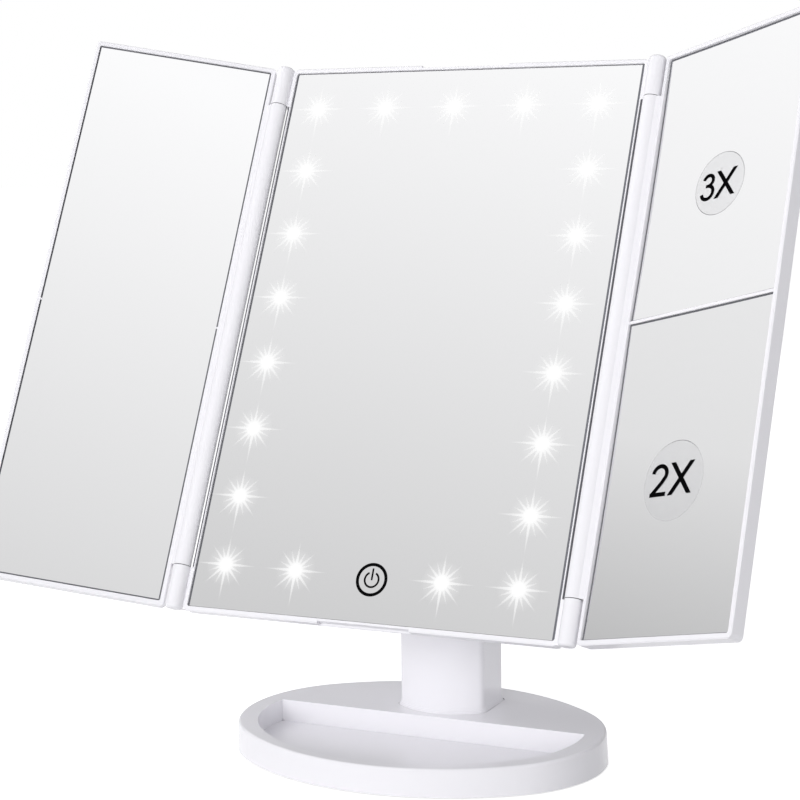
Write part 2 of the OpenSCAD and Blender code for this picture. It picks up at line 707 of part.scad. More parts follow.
base_shell();
base_floor();
ballast_plate();
rest_pad();
base_screws();
column_screws();
column_shell();
column_rear_cover();
battery_door();
battery(-1, 1);  // battery_upper_left
battery(1, 1);  // battery_upper_right
battery(-1, 0);  // battery_lower_left
battery(1, 0);  // battery_lower_right
battery_spring(-1);  // battery_spring_left
battery_spring(1);  // battery_spring_right
battery_bridge();
usb_socket();
power_board();
switch_body();
switch_slider();
tilt_axle();
tilt_washer(-1);  // tilt_washer_left
tilt_washer(1);  // tilt_washer_right
axle_cap(-1);  // axle_cap_left
axle_cap(1);  // axle_cap_right
tilt_bracket();
bracket_screws();
center_back();
center_frame();
center_glass();
led_board();
touch_pad();
control_board();
center_screws();
left_wing_frame();
left_wing_back();
left_wing_glass();
hinge_pin(-1, 1);  // left_pin_top
hinge_pin(-1, -1);  // left_pin_bottom
right_wing_frame();
right_wing_back();
right_upper_glass();
right_lower_glass();
hinge_pin(1, 1);  // right_pin_top
hinge_pin(1, -1);  // right_pin_bottom
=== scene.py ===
import bpy, math
from math import radians, sin, cos, pi
from mathutils import Matrix, Vector


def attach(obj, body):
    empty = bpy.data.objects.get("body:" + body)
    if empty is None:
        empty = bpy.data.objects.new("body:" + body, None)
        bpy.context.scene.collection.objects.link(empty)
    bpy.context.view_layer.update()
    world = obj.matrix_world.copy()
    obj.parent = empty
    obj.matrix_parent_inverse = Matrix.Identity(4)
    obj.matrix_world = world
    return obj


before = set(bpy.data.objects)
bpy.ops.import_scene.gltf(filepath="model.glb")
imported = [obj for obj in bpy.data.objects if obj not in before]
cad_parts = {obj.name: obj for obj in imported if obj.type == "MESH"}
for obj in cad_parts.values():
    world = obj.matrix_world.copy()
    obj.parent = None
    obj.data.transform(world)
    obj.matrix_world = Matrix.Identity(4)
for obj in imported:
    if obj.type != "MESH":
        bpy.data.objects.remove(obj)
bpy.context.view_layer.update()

# ---------- sizes shared with the part, in metres ----------
TILT = radians(25.4)
PIVOT = Vector((0, 0.0292, 0.1605))
HINGE_BACK = 0.0315      # from the glass face back to the tilt axle
AXIS_X, AXIS_Y = 0.0855, 0.0016
FOLD_LEFT, FOLD_RIGHT = radians(23.3), radians(30)
LED_X, LED_Z = 0.065, 0.1035
LED_ROWS, LED_COLS = 8, 5
DISH_REACH, DISH_DEPTH = 0.076, 0.0009     # the shallow dish in each magnifying glass
GLASS_MID_X = 0.0448
GLASS_MID_Z = {"label_upper": 0.0632, "label_lower": -0.0569}
PRINT = 0.00003          # thickness of printed marks and films, drawn so that they clear the glass

# panel coordinates: x across, y back from the glass face, z up the panel
PANEL = (Matrix.Translation(PIVOT) @ Matrix.Rotation(-TILT, 4, "X")
         @ Matrix.Translation((0, -HINGE_BACK, 0)))


def wing_place(side, fold):
    """From wing coordinates, x from the hinge and y as in the panel, to the row frame"""
    return (PANEL @ Matrix.Translation((side * AXIS_X, -AXIS_Y, 0))
            @ Matrix.Rotation(-side * fold, 4, "Z") @ Matrix.Translation((0, AXIS_Y, 0)))


LEFT_WING, RIGHT_WING = wing_place(-1, FOLD_LEFT), wing_place(1, FOLD_RIGHT)

# ---------- camera: the photograph's viewing angle ----------
cam_data = bpy.data.cameras.new("camera")
cam = bpy.data.objects.new("camera", cam_data)
bpy.context.scene.collection.objects.link(cam)
cam_data.sensor_width = 36
cam_data.lens = 94.09
cam_data.clip_start, cam_data.clip_end = 0.02, 60
cam.matrix_world = (Matrix.Translation((0.35975, -0.76614, 0.24898))
                    @ Matrix.Rotation(radians(25.606), 4, "Z")
                    @ Matrix.Rotation(radians(-6.821), 4, "X")
                    @ Matrix.Rotation(radians(0.679), 4, "Y")
                    @ Matrix.Rotation(radians(90), 4, "X"))
bpy.context.scene.camera = cam


# ---------- materials ----------
def linear(hex_colour, alpha=1.0):
    """sRGB hex to linear RGBA"""
    out = []
    for i in (1, 3, 5):
        c = int(hex_colour[i:i + 2], 16) / 255
        out.append(c / 12.92 if c <= 0.04045 else ((c + 0.055) / 1.055) ** 2.4)
    return (*out, alpha)


def add(tree, kind, settings=None, **links):
    """Adds one node: settings set its properties, links set or connect its inputs"""
    node = tree.nodes.new(kind)
    for name, value in (settings or {}).items():
        setattr(node, name, value)
    for name, value in links.items():
        socket = node.inputs[int(name[1:])] if name[0] == "i" and name[1:].isdigit() \
            else node.inputs[name.replace("_", " ")]
        if isinstance(value, bpy.types.NodeSocket):
            tree.links.new(value, socket)
        else:
            socket.default_value = value
    return node


def new_material(name):
    material = bpy.data.materials.new(name)
    material.use_nodes = True
    tree = material.node_tree
    shader = tree.nodes["Principled BSDF"]
    return material, tree, shader


def painted_shadow_beside_slits(tree, place):
    """Mask of a painted shadow: 1 on the last 0.8 mm of the centre frame's lip and the front of its
    side wall, where they stand in the open slit beside a turning barrel, and 0 elsewhere"""
    aside = add(tree, "ShaderNodeMath", {"operation": "ABSOLUTE"},
                i0=add(tree, "ShaderNodeSeparateXYZ", Vector=place).outputs["X"])
    shadow = add(tree, "ShaderNodeMapRange", Value=aside.outputs[0], From_Min=0.0804,
                 From_Max=0.0806)
    from_pivot = add(tree, "ShaderNodeVectorMath", {"operation": "SUBTRACT"}, i0=place, i1=PIVOT)
    # distance from the axle up or down the panel, then forwards of it: none and full shadow
    for way, none, full in (((0, sin(TILT), cos(TILT)), 0.1040, 0.1036),
                            ((0, cos(TILT), -sin(TILT)), 0.0290, 0.0300)):
        along = add(tree, "ShaderNodeVectorMath", {"operation": "DOT_PRODUCT"},
                    i0=from_pivot.outputs["Vector"], i1=way)
        away = add(tree, "ShaderNodeMath", {"operation": "ABSOLUTE"}, i0=along.outputs["Value"])
        inside = add(tree, "ShaderNodeMapRange", Value=away.outputs[0], From_Min=none,
                     From_Max=full)
        shadow = add(tree, "ShaderNodeMath", {"operation": "MULTIPLY"}, i0=shadow.outputs[0],
                     i1=inside.outputs["Result"])
    return shadow.outputs[0]


def moulded_plastic(name, colour, roughness, ripple_mm, ripple_height, spark_mm=0.0, spark=0.0,
                    painted_gap_shade=None, paint_hinge_shadow=False):
    """An injection moulding: a slow ripple from the cooled skin and an optional spark-eroded grain.
    Ripple and grain sizes are in millimetres, their heights in metres.
    Narrow slits and corners, about 1.5 mm wide, sink to a painted shade in the gap colour, and the
    hinge option paints a shadow in that colour beside the turning barrels."""
    material, tree, shader = new_material(name)
    place = add(tree, "ShaderNodeTexCoord").outputs["Object"]
    ripple = add(tree, "ShaderNodeTexNoise", Vector=place, Scale=1000 / ripple_mm, Detail=2.0,
                 Roughness=0.45)
    bump = add(tree, "ShaderNodeBump", Height=ripple.outputs["Fac"], Strength=0.2,
               Distance=ripple_height)
    tint = add(tree, "ShaderNodeTexNoise", Vector=place, Scale=1000 / 60, Detail=3.0)
    low = linear(colour)
    high = tuple(min(1.0, c * 1.012) for c in low[:3]) + (1,)
    shade = add(tree, "ShaderNodeMix", {"data_type": "RGBA"}, i0=tint.outputs["Fac"], i6=low,
                i7=high)
    gloss = add(tree, "ShaderNodeMapRange", Value=ripple.outputs["Fac"], To_Min=roughness * 0.96,
                To_Max=roughness * 1.04)
    skin = shade.outputs[2]
    if painted_gap_shade:
        # painted shade: the colour sinks to the gap shade where the surface is hemmed in within 1.6
        # mm
        near = add(tree, "ShaderNodeAmbientOcclusion", {"samples": 8}, Distance=0.0016)
        deep = add(tree, "ShaderNodeMapRange", Value=near.outputs["AO"], From_Min=0.12,
                   From_Max=0.5)
        skin = add(tree, "ShaderNodeMix", {"data_type": "RGBA"}, i0=deep.outputs["Result"],
                   i6=linear(painted_gap_shade), i7=skin).outputs[2]
    # painted shadow beside the barrels, in the gap shade
    if paint_hinge_shadow:
        skin = add(tree, "ShaderNodeMix", {"data_type": "RGBA"}, i0=painted_shadow_beside_slits(tree, place),
                   i6=skin, i7=linear(painted_gap_shade)).outputs[2]
    tree.links.new(skin, shader.inputs["Base Color"])
    tree.links.new(gloss.outputs["Result"], shader.inputs["Roughness"])
    normal = bump.outputs["Normal"]
    if spark:
        grain = add(tree, "ShaderNodeTexNoise", Vector=place, Scale=1000 / spark_mm, Detail=4.0,
                    Roughness=0.7)
        normal = add(tree, "ShaderNodeBump", Height=grain.outputs["Fac"], Strength=0.5,
                     Distance=spark, Normal=normal).outputs["Normal"]
    tree.links.new(normal, shader.inputs["Normal"])
    shader.inputs["IOR"].default_value = 1.53
    return material


# White ABS, high-gloss injection moulded: even white with a cool cast, soft reflections and a
# barely visible ripple about 14 mm long where the skin shrank on the ribs, with a painted shade in
# its narrow slits and corners
white_abs = moulded_plastic("abs_gloss_moulded", "#f3f2f6", 0.26, 14, 0.000012,
                            painted_gap_shade="#5d5d62")

# The centre frame's ABS, with a painted shadow of the open slits beside the wings' barrels and a
# painted shade in its narrow slits and corners
abs_painted_shadow_by_slits = moulded_plastic("abs_gloss_painted_shadow_by_slits", "#f3f2f6", 0.26, 14, 0.000012,
                           painted_gap_shade="#5d5d62", paint_hinge_shadow=True)

# The same ABS with fine spark erosion, as on covers that are touched: soft, without mirror gloss.
# The real grain is about 0.08 mm; it is drawn at 0.35 mm so that it shows in a close view
# Its narrow slits and corners sink to a painted shade
textured_abs = moulded_plastic("abs_spark_textured", "#f0eff3", 0.42, 14, 0.000012, 0.35, 0.00002,
                               painted_gap_shade="#6a6a6f")

# Grey polyamide, moulded matt, of the switch: dull, with a fine grain
grey_nylon = moulded_plastic("nylon_matt_moulded", "#7b7c82", 0.5, 6, 0.00004, 0.3, 0.00002)

# Rubber of the rest pad, compression moulded: grey, dusty, no clear highlights
soft_rubber = moulded_plastic("rubber_compression_moulded", "#6c6d72", 0.78, 4, 0.00008, 0.5,
                              0.00005)


GLASS_TONE = "#fcfcfd"


def silvered_glass(name, painted_foot_shade=None):
    """Float glass with a silvered back: a clean, almost colourless reflection that loses a little
    light in the glass, and a faint waviness from the float bath about 90 mm long.
    With a foot tone given, a painted shade darkens it towards the foot, from 140 mm above the table
    down to 68 mm."""
    material, tree, shader = new_material(name)
    place = add(tree, "ShaderNodeTexCoord").outputs["Object"]
    wave = add(tree, "ShaderNodeTexNoise", Vector=place, Scale=1000 / 90, Detail=1.0)
    bump = add(tree, "ShaderNodeBump", Height=wave.outputs["Fac"], Strength=0.04, Distance=0.0004)
    dust = add(tree, "ShaderNodeTexNoise", Vector=place, Scale=1000 / 25, Detail=4.0)
    blur = add(tree, "ShaderNodeMapRange", Value=dust.outputs["Fac"], To_Min=0.03, To_Max=0.05)
    tree.links.new(bump.outputs["Normal"], shader.inputs["Normal"])
    tree.links.new(blur.outputs["Result"], shader.inputs["Roughness"])
    if painted_foot_shade:
        # painted shade: the colour falls to the foot tone towards the foot
        high = add(tree, "ShaderNodeSeparateXYZ", Vector=place).outputs["Z"]
        part = add(tree, "ShaderNodeMapRange", Value=high, From_Min=0.068, From_Max=0.14)
        tone = add(tree, "ShaderNodeMix", {"data_type": "RGBA"}, i0=part.outputs["Result"],
                   i6=linear(painted_foot_shade), i7=linear(GLASS_TONE))
        tree.links.new(tone.outputs[2], shader.inputs["Base Color"])
    else:
        shader.inputs["Base Color"].default_value = linear(GLASS_TONE)
    shader.inputs["Metallic"].default_value = 1.0
    return material


mirror = silvered_glass("glass_silvered_float")
# Painted shade on the curved lower magnifying glass: its reflection is darker towards its foot
curved_mirror = silvered_glass("glass_silvered_curved", "#e0e0e1")


def metal(name, colour, roughness, grain_mm, strength):
    """Drawn or plated metal: fine lines or specks of the given size in its gloss"""
    material, tree, shader = new_material(name)
    place = add(tree, "ShaderNodeTexCoord").outputs["Object"]
    specks = add(tree, "ShaderNodeTexNoise", Vector=place, Scale=1000 / grain_mm, Detail=5.0,
                 Roughness=0.65)
    gloss = add(tree, "ShaderNodeMapRange", Value=specks.outputs["Fac"], To_Min=roughness * 0.75,
                To_Max=roughness * 1.3)
    bump = add(tree, "ShaderNodeBump", Height=specks.outputs["Fac"], Strength=strength,
               Distance=0.00003)
    tree.links.new(gloss.outputs["Result"], shader.inputs["Roughness"])
    tree.links.new(bump.outputs["Normal"], shader.inputs["Normal"])
    shader.inputs["Base Color"].default_value = linear(colour)
    shader.inputs["Metallic"].default_value = 1.0
    return material


# Steel, zinc plated: pale bluish grey with a fine crystalline speckle
zinc_steel = metal("steel_zinc_plated", "#c4c8cc", 0.32, 0.9, 0.2)
# Nickel plated spring steel of the battery contacts: brighter and smoother than the zinc
nickel_steel = metal("spring_steel_nickel_plated", "#d6d4cf", 0.2, 1.4, 0.1)
# Stainless shell of the charging socket, deep drawn
drawn_stainless = metal("stainless_deep_drawn", "#c9cacb", 0.24, 0.6, 0.15)
# Copper foil of the touch pad, etched
copper_foil = metal("copper_foil_etched", "#cf9566", 0.38, 0.5, 0.15)


def board(name, colour, trace):
    """Glass-epoxy circuit board under solder mask: satin, with tracks about 1.2 mm wide showing
    through as slightly lighter lines"""
    material, tree, shader = new_material(name)
    place = add(tree, "ShaderNodeTexCoord").outputs["Object"]
    tracks = add(tree, "ShaderNodeTexBrick", {"offset": 0.35}, Vector=place, Scale=1000 / 4.8,
                 Color1=linear(colour), Color2=linear(colour), Mortar=linear(trace),
                 Mortar_Size=0.06, Mortar_Smooth=0.3)
    tree.links.new(tracks.outputs["Color"], shader.inputs["Base Color"])
    shader.inputs["Roughness"].default_value = 0.35
    return material


green_board = board("solder_mask_green", "#2c6747", "#3d7d5a")
white_board = board("solder_mask_white", "#f1f1ee", "#f8f8f6")


def cell_jacket():
    """Shrink sleeve of an AAA cell: plain satin blue film, a little uneven at 3 mm"""
    material, tree, shader = new_material("pvc_shrink_sleeve")
    place = add(tree, "ShaderNodeTexCoord").outputs["Object"]
    film = add(tree, "ShaderNodeTexNoise", Vector=place, Scale=1000 / 3, Detail=2.0)
    tone = add(tree, "ShaderNodeMix", {"data_type": "RGBA"}, i0=film.outputs["Fac"],
               i6=linear("#37598a"), i7=linear("#426799"))
    tree.links.new(tone.outputs[2], shader.inputs["Base Color"])
    shader.inputs["Roughness"].default_value = 0.3
    return material


pvc_sleeve = cell_jacket()


def ink(name, colour, roughness):
    """Screen-printed ink, or a painted shade: flat and dull, a little uneven at 0.6 mm"""
    material, tree, shader = new_material(name)
    place = add(tree, "ShaderNodeTexCoord").outputs["Object"]
    mesh_mark = add(tree, "ShaderNodeTexNoise", Vector=place, Scale=1000 / 0.6, Detail=1.0)
    low = linear(colour)
    high = tuple(min(1, c * 1.2 + 0.002) for c in low[:3]) + (1,)
    tone = add(tree, "ShaderNodeMix", {"data_type": "RGBA"}, i0=mesh_mark.outputs["Fac"], i6=low,
               i7=high)
    tree.links.new(tone.outputs[2], shader.inputs["Base Color"])
    shader.inputs["Roughness"].default_value = roughness
    shader.inputs["Specular IOR Level"].default_value = 0.0
    return material


# Black screen-printing ink of the marks on the glass
black_ink = ink("ink_black_screen_printed", "#060607", 0.5)
# Grey painted shade: a flat dark line along the glass edges beside the lips
painted_edge_shade = ink("painted_glass_edge_shade", "#707176", 0.6)


def clear_film(name, colour, alpha):
    """Polyester film of the stick-on magnification labels: clear, with a soft sheen"""
    material, tree, shader = new_material(name)
    shader.inputs["Base Color"].default_value = linear(colour)
    shader.inputs["Roughness"].default_value = 0.25
    shader.inputs["Alpha"].default_value = alpha
    material.surface_render_method = "BLENDED"
    return material


label_film = clear_film("polyester_film_clear", "#e6e6e8", 0.1)
label_edge = clear_film("polyester_film_cut_edge", "#f2f2f3", 0.06)


def lit_window():
    """Etched window in the silvering with the light chip behind it, switched on, and a painted
    glint round it: white light that fades outwards along the glint's own attribute, full at the
    window and nothing at the tips"""
    material, tree, shader = new_material("painted_glints_on_etched_windows")
    fade = add(tree, "ShaderNodeAttribute", {"attribute_name": "fade"}).outputs["Fac"]
    tree.links.new(fade, shader.inputs["Alpha"])
    shader.inputs["Base Color"].default_value = linear("#1c1c1c")
    shader.inputs["Roughness"].default_value = 0.6
    shader.inputs["Specular IOR Level"].default_value = 0.0
    shader.inputs["Emission Color"].default_value = linear("#ffffff")
    shader.inputs["Emission Strength"].default_value = 1.0
    material.surface_render_method = "BLENDED"
    return material


painted_glint_light = lit_window()

FINISH = {
    "base_shell": white_abs, "base_floor": textured_abs, "ballast_plate": zinc_steel,
    "rest_pad": soft_rubber,
    "base_screws": zinc_steel, "column_screws": zinc_steel, "column_shell": white_abs,
    "column_rear_cover": textured_abs, "battery_door": textured_abs,
    "battery_upper_left": pvc_sleeve, "battery_upper_right": pvc_sleeve,
    "battery_lower_left": pvc_sleeve, "battery_lower_right": pvc_sleeve,
    "battery_spring_left": nickel_steel, "battery_spring_right": nickel_steel,
    "battery_bridge": nickel_steel, "usb_socket": drawn_stainless, "power_board": green_board,
    "switch_body": grey_nylon, "switch_slider": grey_nylon, "tilt_axle": zinc_steel,
    "tilt_washer_left": nickel_steel, "tilt_washer_right": nickel_steel,
    "axle_cap_left": white_abs, "axle_cap_right": white_abs, "tilt_bracket": textured_abs,
    "bracket_screws": zinc_steel, "center_back": textured_abs, "center_frame": abs_painted_shadow_by_slits,
    "center_glass": mirror, "led_board": white_board, "touch_pad": copper_foil,
    "control_board": green_board, "center_screws": zinc_steel, "left_wing_frame": white_abs,
    "left_wing_back": textured_abs, "left_wing_glass": mirror, "left_pin_top": nickel_steel,
    "left_pin_bottom": nickel_steel, "right_wing_frame": white_abs,
    "right_wing_back": textured_abs, "right_upper_glass": mirror,
    "right_lower_glass": curved_mirror, "right_pin_top": nickel_steel,
    "right_pin_bottom": nickel_steel,
}
SHARP = radians(28)      # edges sharper than this stay sharp in the shading
for name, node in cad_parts.items():
    node.data.materials.clear()
    node.data.materials.append(FINISH[name])
    bpy.ops.object.select_all(action="DESELECT")
    node.select_set(True)
    bpy.context.view_layer.objects.active = node
    bpy.ops.object.shade_smooth_by_angle(angle=SHARP)


# ---------- making pieces ----------
def deselect():
    if bpy.context.mode != "OBJECT":
        bpy.ops.object.mode_set(mode="OBJECT")
    bpy.ops.object.select_all(action="DESELECT")


def settle(piece, name, place, material, body):
    """Puts a finished piece in its place in the row frame, with the place in its mesh"""
    deselect()
    piece.select_set(True)
    bpy.context.view_layer.objects.active = piece
    bpy.ops.object.transform_apply(location=True, rotation=True, scale=True)
    piece.data.transform(place)
    piece.data.update()
    piece.name = name
    piece.data.name = name
    piece.data.materials.clear()
    piece.data.materials.append(material)
    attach(piece, body)
    return piece


def join(pieces):
    deselect()
    for piece in pieces:
        piece.select_set(True)
    bpy.context.view_layer.objects.active = pieces[0]
    if len(pieces) > 1:
        bpy.ops.object.join()
    return bpy.context.view_layer.objects.active


def thicken(piece, depth):
    """Flat mesh in the XZ plane, facing -Y, becomes a closed film of this depth"""
    deselect()
    piece.select_set(True)
    bpy.context.view_layer.objects.active = piece
    bpy.ops.object.mode_set(mode="EDIT")
    bpy.ops.mesh.select_all(action="SELECT")
    bpy.ops.mesh.extrude_region_move(TRANSFORM_OT_translate={"value": (0, -depth, 0)})
    bpy.ops.mesh.select_all(action="SELECT")
    bpy.ops.mesh.normals_make_consistent(inside=False)
    bpy.ops.object.mode_set(mode="OBJECT")
    return piece


def flat_disc(radius, x, z, y, sides=64):
    deselect()
    bpy.ops.mesh.primitive_circle_add(vertices=sides, radius=radius, fill_type="NGON",
                                      location=(x, y, z), rotation=(pi / 2, 0, 0))
    return bpy.context.active_object


def flat_ring(outer, inner, x, z, y, start=0.0, sweep=360.0, sides=72):
    """Flat ring or arc made by spinning an edge about the panel's normal; angles from the top"""
    deselect()
    bpy.ops.mesh.primitive_plane_add(size=1)
    piece = bpy.context.active_object
    mesh = piece.data
    # keep one edge of the plane, from the inner to the outer radius
    ends = list(mesh.edges[0].vertices)
    bpy.ops.object.mode_set(mode="EDIT")
    bpy.ops.mesh.select_all(action="SELECT")
    bpy.ops.mesh.delete(type="ONLY_FACE")
    bpy.ops.mesh.select_mode(type="VERT")
    bpy.ops.mesh.select_all(action="DESELECT")
    bpy.ops.object.mode_set(mode="OBJECT")
    for v in mesh.vertices:
        v.select = v.index not in ends
    bpy.ops.object.mode_set(mode="EDIT")
    bpy.ops.mesh.delete(type="VERT")
    bpy.ops.object.mode_set(mode="OBJECT")
    a = radians(start)
    for v, r in zip(mesh.vertices, (inner, outer)):
        v.co = (x + r * sin(a), y, z + r * cos(a))
    bpy.ops.object.mode_set(mode="EDIT")
    bpy.ops.mesh.select_all(action="SELECT")
    bpy.ops.mesh.spin(steps=max(6, int(sides * sweep / 360)), angle=radians(sweep),
                      center=(x, y, z), axis=(0, 1, 0))
    bpy.ops.mesh.select_all(action="SELECT")
    bpy.ops.mesh.remove_doubles(threshold=1e-7)
    bpy.ops.object.mode_set(mode="OBJECT")
    return piece


def bar(x0, z0, x1, z1, width, y):
    """Flat bar with round ends between two points"""
    length = math.hypot(x1 - x0, z1 - z0)
    deselect()
    bpy.ops.mesh.primitive_plane_add(size=1, location=((x0 + x1) / 2, y, (z0 + z1) / 2),
                                     rotation=(pi / 2, 0, 0))
    piece = bpy.context.active_object
    piece.scale = (width, length, 1)
    turn = math.atan2(x1 - x0, z1 - z0)
    piece.rotation_euler = (pi / 2, turn, 0)
    bpy.ops.object.transform_apply(location=True, rotation=True, scale=True)
    return join([piece, flat_disc(width / 2, x0, z0, y, 16), flat_disc(width / 2, x1, z1, y, 16)])


# ---------- touch mark: a ring round the on-off symbol ----------
def touch_mark():
    z = -LED_Z + 0.001
    parts = [flat_ring(0.0068, 0.0055, 0, z, 0),
             flat_ring(0.0034, 0.0026, 0, z, 0, start=-28, sweep=304, sides=64),
             bar(0, z + 0.0043, 0, z + 0.0001, 0.00075, 0)]
    parts = [thicken(p, PRINT) for p in parts]
    return settle(join(parts), "touch_mark", PANEL, black_ink, "panel")


touch_mark()


# ---------- light windows with a painted glint and glow round each on the glass ---------
def led_places():
    for i in range(LED_ROWS):
        for s in (-1, 1):
            yield s * LED_X, LED_Z - i * 2 * LED_Z / (LED_ROWS - 1)
    for i in range(1, LED_COLS - 1):
        x = -LED_X + i * 2 * LED_X / (LED_COLS - 1)
        yield x, LED_Z
        if i != (LED_COLS - 1) // 2:
            yield x, -LED_Z


# length of each painted glint ray in millimetres, clockwise from the top
RAYS = (13.0, 9.5, 11.5, 9.0, 15.0, 9.5, 13.0, 10.0, 17.0, 10.5, 13.0, 9.0, 15.0, 9.0, 11.5, 9.5)
RAY_HALF = 0.0008        # half the width of a ray at its root, in metres
RAY_FADE = 0.95          # how much light is left at its root
# rings of the painted round glow: radius in millimetres and how much light is left there
GLOW = ((1.8, 1.0), (2.5, 0.82), (3.5, 0.45), (5.2, 0.2), (9.0, 0.0))


def fade_of(piece, values):
    """Writes the fade attribute, one value to each point"""
    layer = piece.data.attributes.new("fade", "FLOAT", "POINT")
    for item, value in zip(layer.data, values):
        item.value = value


def gleam():
    """A round window with its painted glow and painted tapering glint rays, drawn once and copied
    to each light
    """
    deselect()
    bpy.ops.mesh.primitive_circle_add(vertices=24, radius=GLOW[0][0] * 0.001, fill_type="TRIFAN",
                                      rotation=(pi / 2, 0, 0))
    glow = bpy.context.active_object
    bpy.ops.object.transform_apply(rotation=True)
    bpy.ops.object.mode_set(mode="EDIT")
    bpy.ops.mesh.select_mode(type="EDGE")
    for (r0, _), (r1, _) in zip(GLOW, GLOW[1:]):
        bpy.ops.mesh.select_all(action="DESELECT")
        bpy.ops.mesh.select_non_manifold()
        bpy.ops.mesh.extrude_edges_move()
        bpy.ops.transform.resize(value=(r1 / r0, r1 / r0, r1 / r0), center_override=(0, 0, 0))
    bpy.ops.object.mode_set(mode="OBJECT")
    left = []
    for v in glow.data.vertices:
        r = v.co.length * 1000
        value = 1.0
        for (r0, f0), (r1, f1) in zip(GLOW, GLOW[1:]):
            if r > r0 - 0.01:
                value = f0 + (f1 - f0) * min(1, (r - r0) / (r1 - r0))
        left.append(value)
    fade_of(glow, left)
    pieces = [glow]
    for k, reach in enumerate(RAYS):
        a = 2 * pi * k / len(RAYS)
        deselect()
        bpy.ops.mesh.primitive_circle_add(vertices=3, radius=1, fill_type="NGON")
        ray = bpy.context.active_object
        lift = -PRINT * (0.5 + 0.02 * k)      # each ray a hair above the last
        side = (RAY_HALF * cos(a), -RAY_HALF * sin(a))
        tip = (reach * 0.001 * sin(a), reach * 0.001 * cos(a))
        for v, (px, pz) in zip(ray.data.vertices, ((-side[0], -side[1]), tip, side)):
            v.co = (px, lift, pz)
        fade_of(ray, (RAY_FADE, 0.0, RAY_FADE))
        pieces.append(ray)
    return join(pieces)


def windows_and_painted_glints():
    first = gleam()
    copies = []
    for x, z in led_places():
        piece = first.copy()
        piece.data = first.data.copy()
        bpy.context.scene.collection.objects.link(piece)
        # the chips lie behind the glass, so from the photo's side they show a little left and up
        seen_at = (x * 0.988 - 0.0021, -PRINT, z * 0.986 + 0.0007)
        piece.data.transform(Matrix.Translation(seen_at))
        copies.append(piece)
    bpy.data.objects.remove(first)
    lights = settle(join(copies), "windows_and_painted_glints", PANEL, painted_glint_light, "panel")
    lights.visible_glossy = False
    lights.visible_shadow = False


windows_and_painted_glints()


def lay_in_dish(piece, name):
    """Sets a flat piece back onto the dished glass it is stuck to, a hair clear of it"""
    deselect()
    piece.select_set(True)
    bpy.context.view_layer.objects.active = piece
    bpy.ops.object.transform_apply(location=True, rotation=True, scale=True)
    for v in piece.data.vertices:
        out = math.hypot(v.co.x - GLASS_MID_X, v.co.z - GLASS_MID_Z[name]) / DISH_REACH
        v.co.y += DISH_DEPTH * (1 - out * out) - 0.00004
    return piece


# ---------- painted shade: a dark line along the glass edges beside the lips -------------
def edge_strip(x0, x1, z0, z1):
    """One flat strip, cut into short lengths so that it can follow a dished glass"""
    deselect()
    along_x = x1 - x0 > z1 - z0
    bpy.ops.mesh.primitive_grid_add(x_subdivisions=24 if along_x else 1,
                                    y_subdivisions=1 if along_x else 36, size=1)
    strip = bpy.context.active_object
    for v in strip.data.vertices:
        v.co = (x0 + (v.co.x + 0.5) * (x1 - x0), 0, z0 + (v.co.y + 0.5) * (z1 - z0))
    return thicken(strip, PRINT)


def glass_edge(name, place, body, box, widths, dish=None):
    """Strips of painted shade lying on a glass along its edges: widths left, right, bottom and top
    in millimetres.
    dish names the label whose dished glass they follow"""
    x0, x1, z0, z1 = box
    left, right, bottom, top = (w * 0.001 for w in widths)
    strips = []
    if left:
        strips.append(edge_strip(x0, x0 + left, z0 + bottom, z1 - top))
    if right:
        strips.append(edge_strip(x1 - right, x1, z0 + bottom, z1 - top))
    if bottom:
        strips.append(edge_strip(x0, x1, z0, z0 + bottom))
    if top:
        strips.append(edge_strip(x0, x1, z1 - top, z1))
    whole = join(strips)
    if dish:
        lay_in_dish(whole, dish)
    return settle(whole, name, place, painted_edge_shade, body)


# ---------- magnification labels on the right wing ----------
def ribbon(points, width):
    """Flat ribbon of even width along a path in the XZ plane"""
    deselect()
    bpy.ops.mesh.primitive_grid_add(x_subdivisions=len(points) - 1, y_subdivisions=1, size=1)
    piece = bpy.context.active_object
    last = len(points) - 1
    for v in piece.data.vertices:
        i = min(last, max(0, round((v.co.x + 0.5) * last)))
        side = width / 2 if v.co.y > 0 else -width / 2
        (ax, az), (bx, bz) = points[max(0, i - 1)], points[min(last, i + 1)]
        run = math.hypot(bx - ax, bz - az)
        v.co = (points[i][0] - side * (bz - az) / run, 0, points[i][1] + side * (bx - ax) / run)
    return piece


def arc(x, z, r, start, end, steps=28):
    """Points on an arc, angles clockwise from the top"""
    angles = [radians(start + (end - start) * i / steps) for i in range(steps + 1)]
    return [(x + r * sin(a), z + r * cos(a)) for a in angles]


def plain_character(sign):
    """A plain upright sans-serif sign, one high, from its foot"""
    stroke = 0.128
    if sign == "X":
        bars = [ribbon([(x0, 0.0), (0.379, 0.5), (x1, 1.0)], stroke)
                for x0, x1 in ((0.064, 0.694), (0.694, 0.064))]
        for b, lean in zip(bars, (0.63, -0.63)):      # the ends are cut level
            for v in b.data.vertices:
                cut = 0.0 if v.co.z < 0.25 else (1.0 if v.co.z > 0.75 else v.co.z)
                v.co.x += (cut - v.co.z) * lean
                v.co.z = cut
        return bars
    if sign == "2":
        neck = [(0.43, 0.43), (0.28, 0.27), (0.1, 0.08)]
        foot = [(x, stroke / 2) for x in (0.025, 0.3, 0.61)]
        strokes = [ribbon(arc(0.32, 0.69, 0.248, -84, 112) + neck, stroke), ribbon(foot, stroke)]
    else:
        strokes = [ribbon(arc(0.3, 0.742, 0.196, -78, 172), stroke),
                   ribbon([(0.21, 0.546), (0.27, 0.546), (0.33, 0.546)], stroke * 0.9),
                   ribbon(arc(0.3, 0.304, 0.242, 4, 262), stroke)]
    for b in strokes:      # digits are drawn narrower than they are set out
        for v in b.data.vertices:
            v.co.x *= 0.88
    return strokes


NEXT_SIGN = {"3": 0.562, "2": 0.62}       # where the X starts after each digit


